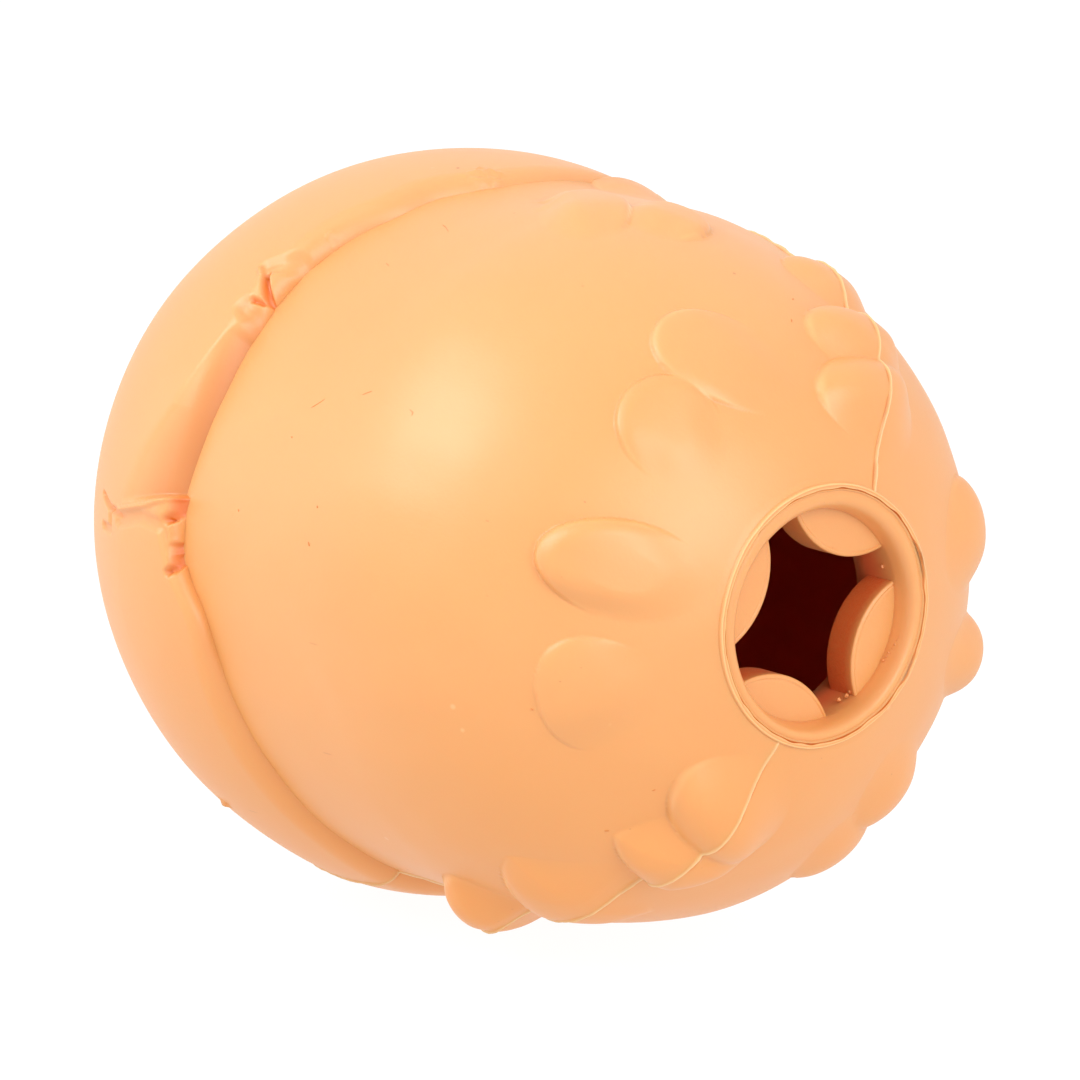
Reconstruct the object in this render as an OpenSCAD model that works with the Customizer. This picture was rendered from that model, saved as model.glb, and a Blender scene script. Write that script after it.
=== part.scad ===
// Treat dispensing ball of soft natural rubber, lying on its side.
// A round rear cap turns in to a brim, a domed body grows out of the brim and carries raised
// lumps towards its mouth, and four rubber flaps half close the mouth.
// The mouth faces +X and +Z is up. The origin is on the floor, under the middle of the ball.

/* [Cap] */
// Diameter of the round cap at the rear
cap_d = 75; // [64:0.5:86]
// Distance from the cap's centre forward to the brim's crest
brim_reach = 3; // [1.5:0.25:4.5]
// Rounding of the turned-in brim
brim_round = 3; // [2.25:0.25:3.5]

/* [Body] */
// How far the body's side lies inside the cap's
body_step = 2.3; // [1.5:0.1:3.5]
// Distance from the cap's centre to the middle of the body's rounded rear end
barrel_start = 13.2; // [11:0.2:15]
// Length of the straight barrel between the rear end and the dome
barrel_len = 9.8; // [6:0.2:14]
// Thickness of the rubber wall
wall = 5; // [4.5:0.1:6]

/* [Mouth] */
// Diameter of the bore behind the rounded lip
bore_d = 21.4; // [18:0.2:24]
// Width of the rounded lip, from the bore to the moulding line round it
lip_w = 1.6; // [1.2:0.1:2]
// Angle at which the bore widens behind the front of the flaps
bore_draft = 3; // [1:0.5:5]
// How far the lip stands out of the dome
lip_proud = 0.4; // [0.2:0.05:0.8]
// How far the flaps lie below the lip
flap_recess = 3.4; // [2.8:0.1:4.2]
// Angle at which the mouth ring widens inwards
collar_flare = 15; // [8:1:20]

/* [Flaps] */
// Thickness of a flap
flap_t = 4.3; // [3.6:0.1:4.8]
// Radius of the arc on a flap's free edge
flap_arc_r = 7; // [6.4:0.1:7.4]
// How far a flap's free edge stands in from the bore
flap_len = 5.2; // [4.6:0.1:5.6]
// Width that the fixed rubber takes at each tip of a flap
flap_tip = 1; // [0.8:0.1:1.4]
// How much thinner than a flap the fixed rubber beside its root is, at the back
ledge_relief = 0.25; // [0.2:0.05:0.4]
// Running gap round the root on which a flap bends
root_gap = 0.05; // [0.03:0.01:0.1]
// Gap beside a flap
side_gap = 0.3; // [0.2:0.05:0.4]

/* [Lumps] */
// Length of a full-sized lump
lump_len = 14.4; // [12:0.2:16]
// Width of a full-sized lump
lump_w = 11; // [9:0.2:12]
// How far a lump stands out of the body
lump_rise = 3; // [2:0.1:3.4]
// Share of the wall left under a lump's rise that its middle is sunk
sink_share = 0.4; // [0.2:0.05:0.5]
// How far a lump leans, with its end at the mouth sunk in
lump_lean = 9; // [4:1:12]

/* [Seam] */
// Angle of the moulding seam round the ball's axis, from +Y towards +Z
seam_angle = 62; // [0:1:90]

/* [Hidden] */
$fn = 96;

cap_r = cap_d / 2;
body_r = cap_r - body_step;
bore_r = bore_d / 2;
mouth_r = bore_r + lip_w;

// Places along the ball's axis, counted forward from the cap's centre
brim_front = brim_reach + brim_round;
dome_start = barrel_start + barrel_len;
mouth_line = dome_start + sqrt(pow(body_r, 2) - pow(mouth_r, 2));
lip_front = mouth_line + lip_proud;
flap_front = lip_front - flap_recess;
flap_middle = flap_front - flap_t / 2;
flap_back = flap_front - flap_t;
collar_back = flap_back - lip_w / 2;

// The brim's rounding touches the cap's outline from inside
brim_round_r = sqrt(pow(cap_r - brim_round, 2) - pow(brim_reach, 2));
cavity_r = body_r - wall;
cap_cavity_r = cap_r - wall;

// A flap's outline: an arc on its free edge, the bore behind it, and the chord it bends on
arc_centre = bore_r - flap_len + flap_arc_r;
chord = (pow(bore_r, 2) + pow(arc_centre, 2) - pow(flap_arc_r, 2)) / (2 * arc_centre);
half_chord = sqrt(pow(bore_r, 2) - pow(chord, 2));
flap_half_w = half_chord - flap_tip;

// The ball's middle lies over the origin
axis_shift = (cap_r - lip_front) / 2;
overrun = wall;
near = 0;
far = 180;

// A lump's middle is sunk into the wall, which it doesn't break through
lump_sink = (wall - lump_rise) * sink_share;

// One row a lump: distance over the dome from the moulding line round the mouth, in lump
// lengths, angle round the axis from the seam's upper line, turn of its long side, and the
// shares of the full length, width and rise
lump_shares = [
    [0.68, 4, 0, 1, 1, 1],
    [1.13, 2, 0, 0.9, 1.1, 1],
    [1.6, 0, 0, 0.85, 1.1, 1],
    [2.56, 38, 90, 0.85, 0.85, 0.6],
    [2.28, 28, 70, 0.9, 0.8, 0.5],
    [1.11, 44, 20, 0.95, 1, 0.75],
    [0.83, 62.5, 10, 0.95, 1.05, 0.85],
    [0.85, 99, -6, 0.95, 0.75, 1],
    [0.85, 129, -14, 0.9, 0.95, 0.85],
    [0.6, 180, 0, 1, 1.05, 1],
    [1.09, 178, 0, 0.9, 1.1, 1],
    [1.75, 177, 0, 1, 1.05, 1],
    [2.35, 176, 0, 0.95, 1, 0.95],
    [1.35, -129, 10, 1, 1, 1],
    [0.96, -116, 0, 1, 1, 0.95],
    [1.05, -81, 6, 1, 0.95, 1],
    [0.83, -51, 12, 1, 1, 1],
    [2.54, -142, 90, 0.9, 0.85, 0.6],
    [2.2, -62, 70, 0.9, 0.85, 0.6]
];

rubber = [0.98, 0.75, 0.51];
rubber_shade = [0.95, 0.69, 0.45];

// Turns the ball's own axis onto +X and sets the cap on the floor
module lying() {
    translate([axis_shift, 0, cap_r])
        rotate([90, 0, 90])
            children();
}

// Half of a turned shape, on one side of the seam
module half_turn(side) {
    rotate([0, 0, seam_angle + side])
        rotate_extrude(angle = 180)
            children();
}

// Everything on one side of the seam
module seam_side(side) {
    reach = cap_r + lip_front;
    rotate([0, 0, seam_angle + side])
        translate([-reach, 0, -reach])
            cube([2 * reach, reach, 2 * reach]);
}

// The hollow's outline: round at the rear, straight along the barrel, round at the dome
module cavity_outline() {
    seat = sqrt(pow(cap_cavity_r, 2) - pow(cavity_r, 2));
    intersection() {
        circle(r = cap_cavity_r);
        translate([-cap_r, -cap_r])
            square([cap_d, cap_r + seat]);
    }
    translate([0, seat])
        square([cavity_r, dome_start - seat]);
    translate([0, dome_start])
        circle(r = cavity_r);
}

// The right-hand side of the axis, between two places along it
module band(from, to) {
    translate([0, from])
        square([cap_r, to - from]);
}

module cap_outline() {
    difference() {
        union() {
            intersection() {
                circle(r = cap_r);
                band(-cap_r, brim_reach);
            }
            intersection() {
                translate([brim_round_r, brim_reach])
                    circle(r = brim_round);
                band(brim_reach, brim_front);
            }
            translate([0, brim_reach])
                square([brim_round_r, brim_round]);
        }
        cavity_outline();
    }
}

module body_outline() {
    difference() {
        intersection() {
            union() {
                translate([0, barrel_start])
                    circle(r = body_r);
                translate([0, barrel_start])
                    square([body_r, barrel_len]);
                translate([0, dome_start])
                    circle(r = body_r);
            }
            band(brim_front, lip_front);
        }
        cavity_outline();
    }
}

// The tapered seat of the mouth ring
function ring_r(place) = mouth_r + (lip_front - place) * tan(collar_flare);

module ring_seat() {
    back = collar_back - overrun;
    front = lip_front + overrun;
    translate([0, 0, back])
        cylinder(r1 = ring_r(back), r2 = ring_r(front), h = front - back);
}

// The angle from the mouth's axis to the middle of a lump
function lump_angle(row) =
    asin(mouth_r / body_r) + row[0] * lump_len / body_r * 180 / PI;

// An egg-shaped lump, lying on the dome with its mouth end sunk in
module lump(row) {
    rise = lump_rise * row[5];
    translate([0, 0, dome_start])
        rotate([0, 0, seam_angle + row[1]])
            rotate([0, lump_angle(row), 0])
                translate([0, 0, body_r - lump_sink])
                    rotate([0, 0, row[2]])
                        rotate([0, -lump_lean, 0])
                            scale([lump_len * row[3] / 2, lump_w * row[4] / 2, rise + lump_sink])
                                sphere(r = 1);
}

// Whether a lump lies wholly on one side of the seam, or reaches across it
function seam_reach(row) = asin(min(1, lump_len / 2 / (body_r * sin(lump_angle(row)))));
function round_angle(row) = (row[1] + 360) % 360;
function is_across(row) =
    min(abs(round_angle(row) - 180), round_angle(row), 360 - round_angle(row)) < seam_reach(row);
function is_on(row, side) =
    side == near ? round_angle(row) < 180 : round_angle(row) > 180;

module lumps(side) {
    for (row = lump_shares)
        if (is_across(row))
            intersection() {
                lump(row);
                seam_side(side);
            }
        else if (is_on(row, side))
            lump(row);
}

module cap_half(side) {
    lying()
        half_turn(side)
            cap_outline();
}

module body_half(side) {
    lying()
        difference() {
            union() {
                half_turn(side)
                    body_outline();
                lumps(side);
            }
            ring_seat();
        }
}

module cap_near() {
    color(rubber)
        cap_half(near);
}

module cap_far() {
    color(rubber)
        cap_half(far);
}

module body_near() {
    color(rubber)
        body_half(near);
}

module body_far() {
    color(rubber)
        body_half(far);
}

module ring_outline() {
    difference() {
        polygon([
            [bore_r, flap_front],
            [bore_r + (flap_front - collar_back) * tan(bore_draft), collar_back],
            [ring_r(collar_back), collar_back],
            [ring_r(lip_front), lip_front],
            [bore_r, lip_front]
        ]);
        difference() {
            translate([bore_r, lip_front - lip_w])
                square([lip_w, lip_w]);
            translate([mouth_r, lip_front - lip_w])
                circle(r = lip_w);
        }
    }
}

// A flap's whole lens shape, seen along the ball's axis
module lens(outer_r) {
    intersection() {
        circle(r = outer_r);
        translate([arc_centre, 0])
            circle(r = flap_arc_r);
    }
}

// The part of the lens that bends, back to the chord
module free_lens() {
    intersection() {
        lens(bore_r);
        translate([0, -flap_half_w])
            square([chord, 2 * flap_half_w]);
    }
}

// Turns a flap to its place round the axis
module at_flap(turn) {
    rotate([0, 0, seam_angle + turn])
        children();
}

// Room in the fixed rubber for a flap and the root on which it bends
module flap_room() {
    half_w = flap_half_w + side_gap;
    translate([0, -half_w, flap_back - overrun])
        cube([chord, 2 * half_w, flap_t + 2 * overrun]);
    translate([chord, half_w, flap_middle])
        rotate([90, 0, 0])
            cylinder(r = flap_t / 2 + root_gap, h = 2 * half_w);
}

module mouth_ring() {
    color(rubber_shade)
        lying()
            difference() {
                union() {
                    rotate_extrude()
                        ring_outline();
                    for (turn = [0 : 90 : 270])
                        at_flap(turn)
                            translate([0, 0, flap_back + ledge_relief])
                                linear_extrude(flap_t - ledge_relief)
                                    lens(bore_r + lip_w / 2);
                }
                for (turn = [0 : 90 : 270])
                    at_flap(turn)
                        flap_room();
            }
}

// A flap from its free edge to its round root
module flap(turn) {
    color(rubber_shade)
        lying()
            at_flap(turn) {
                translate([0, 0, flap_back])
                    linear_extrude(flap_t)
                        free_lens();
                translate([chord, flap_half_w, flap_middle])
                    rotate([90, 0, 0])
                        cylinder(r = flap_t / 2, h = 2 * flap_half_w);
            }
}

module flap_top() { flap(0); }
module flap_left() { flap(90); }
module flap_bottom() { flap(180); }
module flap_right() { flap(270); }

cap_near();
cap_far();
body_near();
body_far();
mouth_ring();
flap_top();
flap_left();
flap_bottom();
flap_right();
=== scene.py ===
"""Looks of the treat dispensing ball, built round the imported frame.

Lengths are in millimetres until a point is placed, and angles are in degrees. A place on the toy
is written as its distance forward of the cap's centre, its distance from the ball's own axis, and
its angle round that axis, from +Y towards +Z.
"""

import math

import bpy
import numpy as np
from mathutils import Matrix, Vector


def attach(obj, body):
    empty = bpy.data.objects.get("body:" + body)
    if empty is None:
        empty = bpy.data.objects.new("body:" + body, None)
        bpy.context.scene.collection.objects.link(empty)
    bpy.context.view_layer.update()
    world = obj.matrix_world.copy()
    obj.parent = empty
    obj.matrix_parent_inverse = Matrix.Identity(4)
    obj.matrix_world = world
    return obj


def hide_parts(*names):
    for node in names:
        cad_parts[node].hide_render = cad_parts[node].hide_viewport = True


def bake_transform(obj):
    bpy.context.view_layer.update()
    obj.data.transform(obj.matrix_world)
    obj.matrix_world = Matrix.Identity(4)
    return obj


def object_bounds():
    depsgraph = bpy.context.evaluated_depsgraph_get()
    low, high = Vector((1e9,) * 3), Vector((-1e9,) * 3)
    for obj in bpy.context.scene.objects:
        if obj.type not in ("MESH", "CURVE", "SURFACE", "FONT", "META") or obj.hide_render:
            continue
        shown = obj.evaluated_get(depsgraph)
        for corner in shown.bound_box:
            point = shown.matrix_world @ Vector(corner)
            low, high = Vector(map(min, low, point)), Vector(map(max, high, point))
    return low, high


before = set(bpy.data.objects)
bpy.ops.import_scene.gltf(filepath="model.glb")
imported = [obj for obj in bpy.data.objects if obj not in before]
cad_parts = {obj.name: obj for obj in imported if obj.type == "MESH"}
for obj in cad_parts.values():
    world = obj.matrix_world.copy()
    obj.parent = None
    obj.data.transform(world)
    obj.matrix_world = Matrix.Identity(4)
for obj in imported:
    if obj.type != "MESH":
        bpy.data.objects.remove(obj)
CAD_LOW, CAD_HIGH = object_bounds()

MM = 0.001

# Sizes that come from the frame
CAP_R = (CAD_HIGH.z - CAD_LOW.z) / 2 / MM
CAP_X = CAD_LOW.x / MM + CAP_R
LIP_FRONT = CAD_HIGH.x / MM - CAP_X

# Sizes of the moulding, as the solids have them
SEAM = 62.0
BODY_R = CAP_R - 2.3
WALL = 5.0
CAVITY_R = BODY_R - WALL
DOME_START = 23.0
MOUTH_R = 12.3
MOUTH_ANGLE = math.degrees(math.asin(MOUTH_R / BODY_R))
MOUTH_LINE = DOME_START + math.sqrt(BODY_R**2 - MOUTH_R**2)
COLLAR_BACK = LIP_FRONT - 8.5

# Sizes of the mouth and the flaps, which are a little off the solids' but bend at the same roots
BORE_R = 10.2
MOUTH_DROP = 0.29
FLAP_FRONT = LIP_FRONT - 2.4
FLAP_T = 3.8
FLAP_BACK = FLAP_FRONT - FLAP_T
FLAP_TURN = 4.8
# A flap's free edge is an arc about a point outside the bore: its distance out, and the radius
ARC_CENTRE = 14.54
ARC_R = 8.4
# A flap's root: how far out it reaches, into the bore's wall, how far forward its middle lies, and
# how far out its bend starts and ends
ROOT_R = BORE_R + 0.35
ROOT_MIDDLE = LIP_FRONT - 5.55
BEND_START = 10.9
BEND_END = 8.0

# The moulding line's two sides, which wander a little from the middle of the lumps
SEAM_TOP = 61.0
SEAM_BOTTOM = 244.5
# The body's barrel runs on under the cap, and the brim closes on it
BARREL_START = -1.0
DOME_LEN = math.radians(90 - MOUTH_ANGLE) * BODY_R
BARREL_LEN = DOME_START - BARREL_START


def placed(forward, out, turn):
    """Points in the row frame, in metres, from places on the toy."""
    turn = np.radians(turn)
    x = (CAP_X + forward) * MM + 0 * turn
    y = out * np.cos(turn) * MM
    z = (CAP_R + out * np.sin(turn)) * MM
    return np.stack(np.broadcast_arrays(x, y, z), axis=-1)


def smooth(low, high, value):
    """0 below low, 1 above high and a smooth rise between."""
    t = np.clip((value - low) / (high - low), 0, 1)
    return t * t * (3 - 2 * t)


def waves(points, size, seed, count=24):
    """Smooth noise over points, of about that size, and mostly from -1 to 1."""
    random = np.random.RandomState(seed)
    total = np.zeros(points.shape[:-1])
    for _ in range(count):
        direction = random.normal(size=3)
        direction /= np.linalg.norm(direction)
        pitch = 2 * math.pi / (size * random.uniform(0.7, 1.5))
        total += np.cos(points @ direction * pitch + random.uniform(0, 2 * math.pi))
    return total / math.sqrt(count)


def soft_max(a, b, width):
    """The larger of two fields, with the corner between them rounded."""
    share = np.clip(0.5 + 0.5 * (a - b) / width, 0, 1)
    return b + (a - b) * share + width * share * (1 - share)


def bell(value, middle, width):
    """1 at the middle and a smooth fall towards 0 on both sides."""
    return np.exp(-(((value - middle) / width) ** 2))


def signed(turn):
    """Angles brought to between -180 and 180."""
    return np.mod(turn + 180, 360) - 180


def to_line(x, y, points):
    """Distance from a line through points."""
    best = np.full(np.shape(x), np.inf)
    for start, end in zip(points[:-1], points[1:]):
        dx = end[0] - start[0]
        dy = end[1] - start[1]
        step = np.hypot(dx, dy)
        share = np.clip(((x - start[0]) * dx + (y - start[1]) * dy) / (step * step), 0, 1)
        best = np.minimum(best, np.hypot(x - start[0] - share * dx, y - start[1] - share * dy))
    return best


# Meshes

def make_mesh(name, points, quads, triangles=(), normals=None, values=None):
    """An object from arrays, shaded smooth, with optional normals and named float fields."""
    quads = np.asarray(quads, np.int32).reshape(-1, 4)
    triangles = np.asarray(triangles, np.int32).reshape(-1, 3)
    corners = np.concatenate([quads.ravel(), triangles.ravel()])
    sizes = np.concatenate([np.full(len(quads), 4), np.full(len(triangles), 3)])
    starts = np.concatenate([[0], np.cumsum(sizes)[:-1]])
    mesh = bpy.data.meshes.new(name)
    mesh.vertices.add(len(points))
    mesh.vertices.foreach_set("co", np.asarray(points, np.float32).ravel())
    mesh.loops.add(len(corners))
    mesh.loops.foreach_set("vertex_index", corners.astype(np.int32))
    mesh.polygons.add(len(sizes))
    mesh.polygons.foreach_set("loop_start", starts.astype(np.int32))
    mesh.polygons.foreach_set("loop_total", sizes.astype(np.int32))
    mesh.polygons.foreach_set("use_smooth", np.ones(len(sizes), bool))
    for key, field in (values or {}).items():
        layer = mesh.attributes.new(key, "FLOAT", "POINT")
        layer.data.foreach_set("value", np.asarray(field, np.float32).ravel())
    mesh.update(calc_edges=True)
    mesh.validate()
    if normals is not None:
        mesh.normals_split_custom_set_from_vertices(np.asarray(normals, float).tolist())
    made = bpy.data.objects.new(name, mesh)
    bpy.context.scene.collection.objects.link(made)
    return made


def index_quads(index, flip=False):
    """Quads between the rows of an array of point numbers."""
    corners = [index[:-1, :-1], index[:-1, 1:], index[1:, 1:], index[1:, :-1]]
    made = np.stack(corners, axis=-1).reshape(-1, 4)
    return made[:, ::-1] if flip else made


def grid_normals(points):
    """Unit normals of a grid of points, whose first and last columns are taken as one."""
    down = np.gradient(points, axis=0)
    across = np.gradient(points, axis=1)
    across[:, 0] = across[:, -1] = points[:, 1] - points[:, -2]
    made = np.cross(across, down)
    return made / np.maximum(np.linalg.norm(made, axis=-1, keepdims=True), 1e-12)


def zip_up(one, other, flip=False):
    """Triangles between two lines of point numbers that run side by side."""
    i = 0
    j = 0
    made = []
    while i < len(one) - 1 or j < len(other) - 1:
        ahead = (i + 1) / max(len(one) - 1, 1) <= (j + 1) / max(len(other) - 1, 1)
        if j == len(other) - 1 or (ahead and i < len(one) - 1):
            made.append((one[i], one[i + 1], other[j]))
            i += 1
        else:
            made.append((one[i], other[j + 1], other[j]))
            j += 1
    made = np.array(made)
    return made[:, ::-1] if flip else made


def shell_half(name, outer, normals, fields, inner):
    """A closed half shell from an outer and an inner grid of the same columns.

    Both grids run from the same rim to the other, row by row. Fields are named values of the outer
    points, for the material.
    """
    rows, columns = outer.shape[:2]
    inner_rows = inner.shape[0]
    first = rows * columns
    points = np.concatenate([outer.reshape(-1, 3), inner.reshape(-1, 3)])
    index = np.arange(rows * columns).reshape(rows, columns)
    inside = first + np.arange(inner_rows * columns).reshape(inner_rows, columns)
    quads = [index_quads(index, flip=True), index_quads(inside)]
    for one, other, flip in ((index[0], inside[0], False), (index[-1], inside[-1], True)):
        quads.append(index_quads(np.stack([one, other]), flip))
    sides = [
        zip_up(index[:, 0], inside[:, 0], flip=True),
        zip_up(index[:, -1], inside[:, -1]),
    ]
    inner_normals = grid_normals(inner)
    count = inner_rows * columns
    # The inner grid takes the full painted shade of the hollow
    values = {"deep": np.concatenate([np.zeros(first), np.ones(count)])}
    for key, field in fields.items():
        values[key] = np.concatenate([field.ravel(), np.zeros(count)])
    return make_mesh(
        name,
        points,
        np.concatenate(quads),
        np.concatenate(sides),
        np.concatenate([normals.reshape(-1, 3), inner_normals.reshape(-1, 3)]),
        values,
    )


def in_row_frame(points):
    """Points in the row frame, in metres, from points on the toy's own axes in millimetres."""
    moved = [CAP_X + points[..., 0], points[..., 1], CAP_R + points[..., 2]]
    return np.stack(moved, axis=-1) * MM


# Where the brim closes on the body

# How far forward the brim's front edge lies and how big its roll is, by angle round the axis
BRIM_TURN = np.array(
    [
        0, 45, 60, 74, 86, 95, 104, 111, 119, 131, 145, 158, 168, 173, 179, 187, 194, 202, 219,
        231, 280, 330, 360.0,
    ]
)
BRIM_FRONT = np.array(
    [
        8, 7.6, 7.4, 8.2, 9.4, 8.9, 6.7, 6.1, 4, 2.4, 2.4, 1.75, 1.1, 1.1, 1.9, 4.7, 5.5,
        6.3, 7.8, 8.8, 8, 7.5, 8,
    ]
)
BRIM_ROLL = np.array(
    [3, 2.6, 2, 2.2, 3, 3, 3, 3, 2.8, 2.2, 2.6, 2.6, 2.6, 2.2, 1.5, 1.5, 2, 2.6, 3, 3, 3, 3, 3]
)
# How high the body rises to meet the brim, at the same angles, below 0 where it dips
BRIM_FILLET = np.array(
    [
        0.5, 0.6, 0.8, 0.8, 0.6, 0.4, 0.3, 0.2, 0.1, 0, -0.35, -0.4, -0.25, 0.25, 0.5, 0.4, 0.15,
        0, 0, 0.15, 0.4, 0.4, 0.5,
    ]
)
# That rise is whole up to a little behind the brim's front edge, and fades from there forward
FILLET_START = 0.6
FILLET_FADE = 1.7


def round_curve(turns, at, values):
    """A smooth closed curve through values at angles round the axis."""
    x = np.concatenate([at[-3:-1] - 360, at, at[1:3] + 360])
    y = np.concatenate([values[-3:-1], values, values[1:3]])
    slope = np.gradient(y, x)
    t = np.mod(turns, 360)
    i = np.clip(np.searchsorted(x, t, side="right") - 1, 0, len(x) - 2)
    step = x[i + 1] - x[i]
    u = (t - x[i]) / step
    a = (1 + 2 * u) * (1 - u) ** 2 * y[i] + u * (1 - u) ** 2 * step * slope[i]
    b = u**2 * (3 - 2 * u) * y[i + 1] + u**2 * (u - 1) * step * slope[i + 1]
    return a + b


# Body

# One row a lump: distance back over the body from the mouth line, angle round the axis, turn,
# length, width, rise, how much wider the rear end is, how pointed it is, which way its crisp edge
# faces, shares of the half width that the crisp and the soft edge take, share of the rise at the
# front end, and how domed it is. The names say where a lump lies: top and foot along the moulding
# line, crown and side in view between them, back and rear out of view, and brim_rise under the brim
LUMPS = {
    "top_1": (9.6, 61.0, 25, 11.6, 13.8, 3.0, 0.35, 0, 10, 0.8, 1.0, 0.1, 1),
    "top_2": (16.8, 62, 10, 10.0, 13.5, 2.45, 0.2, 0, 0, 0.6, 1.0, 0.78, 0.7),
    "top_3": (26.9, 60.5, 0, 10.2, 11.2, 1.75, 0.1, 0, 0, 0.6, 1.0, 0.8, 0.7),
    "brim_rise": (56.2, 64, 0, 10.2, 14, 2.0, 0, 0, 0, 0.8, 1.0, 0.3, 1),
    "crown_1": (41.6, 96.6, 57, 9.2, 14.8, 1.35, 0, 0, -130, 0.22, 0.9, 0.8, 0.2),
    "crown_2": (36.3, 87.4, 85, 9.4, 10.4, 1.05, 0.1, 0, 175, 0.28, 0.9, 0.9, 0.2),
    "side_1": (14.1, 100.5, 39, 17.5, 10.2, 0.75, 0.23, 0, 15, 0.26, 0.8, 0.3, 0),
    "side_2": (12.1, 125.9, -16, 12.2, 10.1, 0.75, 0.1, 0, 10, 0.28, 0.8, 0.4, 0),
    "side_3": (10.3, 163.2, 0, 16.6, 9.4, 1.6, -0.06, 0, -28, 0.34, 0.62, 0.3, 0),
    "side_4": (12.2, 193.6, 4.5, 12.0, 11.0, 1.1, 0.27, 0, -35, 1.0, 0.9, 0.35, 0),
    "foot_1": (8.4, 246.5, -25, 11.9, 15.0, 3.4, 0.16, 0, 0, 0.8, 1.0, 0.1, 1),
    "foot_2": (14.6, 244.6, 20, 11.9, 14.8, 2.6, 0.1, 0.9, 0, 0.5, 1.0, 0.6, 0.7),
    "foot_3": (27.1, 241.3, 9, 15, 17.0, 2.0, 0.2, 0.9, 0, 0.4, 1.0, 0.2, 0.7),
    "foot_4": (39.6, 242.5, 0, 10.6, 12.6, 3.65, 0.2, 0.9, 0, 0.5, 1.0, 0.4, 0.8),
    "back_4": (19.4, -67, 10, 12.4, 10, 1.8, 0.15, 0, 0, 0.8, 1.0, 0.3, 1),
    "back_3": (13.8, -55, 0, 13.4, 10, 1.9, 0.15, 0, 0, 0.8, 1.0, 0.3, 1),
    "back_2": (15.1, -20, 6, 12.4, 8.4, 2.9, 0.15, 0, 0, 0.8, 1.0, 0.3, 1),
    "back_1": (12.0, 9.5, 12, 13.4, 10.7, 2.2, 0.15, 0, 0, 0.8, 1.0, 0.3, 1),
    "rear_1": (36.6, -80, 90, 13, 9.4, 0.3, 0, 0, 0, 0.3, 0.9, 0.5, 0),
    "rear_2": (31.7, 0, 70, 13, 9.4, 0.8, 0, 0, 0, 0.3, 0.9, 0.5, 0),
}
# A lump's raised rim, which also takes a painted highlight, in shares of the half width: how far in
# from the edge it runs, and its width. A lump whose crisp edge takes the third share has none
RIM_AT = 0.045
RIM_WIDTH = 0.035
RIMLESS = 0.9
# Broad dips and swellings: rise, distance back and its spread, angle round the axis and its spread
SWELLS = (
    (-0.5, 34, 7, 64, 14),
    (0.5, 30, 10, -85, 22),
)
# All relief fades over this distance from the mouth line
EDGE_FADE = 1.2


def body_line(back):
    """The plain body's outline at distances back from the mouth line: forward, out, and normal."""
    angle = np.radians(MOUTH_ANGLE) + back / BODY_R
    on_dome = back < DOME_LEN
    on_barrel = (back >= DOME_LEN) & (back < DOME_LEN + BARREL_LEN)
    rear = (back - DOME_LEN - BARREL_LEN) / BODY_R
    lean = np.where(on_dome, np.cos(angle), np.where(on_barrel, 0, -np.sin(rear)))
    rise = np.where(on_dome, np.sin(angle), np.where(on_barrel, 1, np.cos(rear)))
    forward = np.where(
        on_dome,
        DOME_START + BODY_R * lean,
        np.where(on_barrel, DOME_START - (back - DOME_LEN), BARREL_START + BODY_R * lean),
    )
    return forward, BODY_R * rise, lean, rise


def body_points(back, turn):
    """Plain points and normals of the body, in toy axes, in millimetres."""
    forward, out, lean, rise = body_line(back)
    c = np.cos(np.radians(turn))
    s = np.sin(np.radians(turn))
    points = np.stack(np.broadcast_arrays(forward, out * c, out * s), axis=-1)
    normals = np.stack(np.broadcast_arrays(lean, rise * c, rise * s), axis=-1)
    return points, normals


def lump_height(points, row):
    """How far one lump stands out of the body at points, and how near its crisp rim they are."""
    back, around, turn, length, width, rise = row[:6]
    taper, tip, crisp_to, crisp_w, soft_w, front, dome = row[6:]
    middle, outward = body_points(np.array(float(back)), np.array(float(around)))
    around = math.radians(around)
    across = np.array([0, -math.sin(around), math.cos(around)])
    rearward = np.cross(across, outward)
    rearward *= -np.sign(rearward[0]) if abs(rearward[0]) > 1e-6 else 1
    turn = math.radians(turn)
    lengthwise = math.cos(turn) * rearward + math.sin(turn) * across
    widthwise = -math.sin(turn) * rearward + math.cos(turn) * across
    away = points - middle
    this_side = away @ outward > -BODY_R / 2
    x = away @ lengthwise / (length / 2)
    y = away @ widthwise / (width / 2)
    y = y / (1 + taper * np.clip(x, -1, 1))
    power = 2 - 0.75 * tip
    reach = (np.abs(x) ** power + np.abs(y) ** power) ** (1 / power)
    from_edge = np.clip(1 - reach, 0, 1)
    crisp_to = math.radians(crisp_to)
    facing = (math.cos(crisp_to) * x + math.sin(crisp_to) * y) / np.maximum(np.hypot(x, y), 1e-6)
    crisp = smooth(-0.45, 0.65, facing)
    sharp = np.sqrt(1 - (1 - np.clip(from_edge / crisp_w, 0, 1)) ** 2)
    flat = crisp * sharp + (1 - crisp) * smooth(0, soft_w, from_edge)
    bowed = np.clip(1 - reach * reach, 0, 1) ** (1.3 - 0.6 * crisp)
    fall = front + (1 - front) * smooth(-1, 0.75, x)
    height = rise * fall * (flat * (1 - dome) + bowed * dome)
    rim = crisp * bell(from_edge, RIM_AT, RIM_WIDTH) * this_side
    rim = rim * (1 - smooth(RIMLESS - 0.08, RIMLESS, crisp_w))
    return np.where((reach < 1) & this_side, height, 0), rim * (reach < 1.15)


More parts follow.
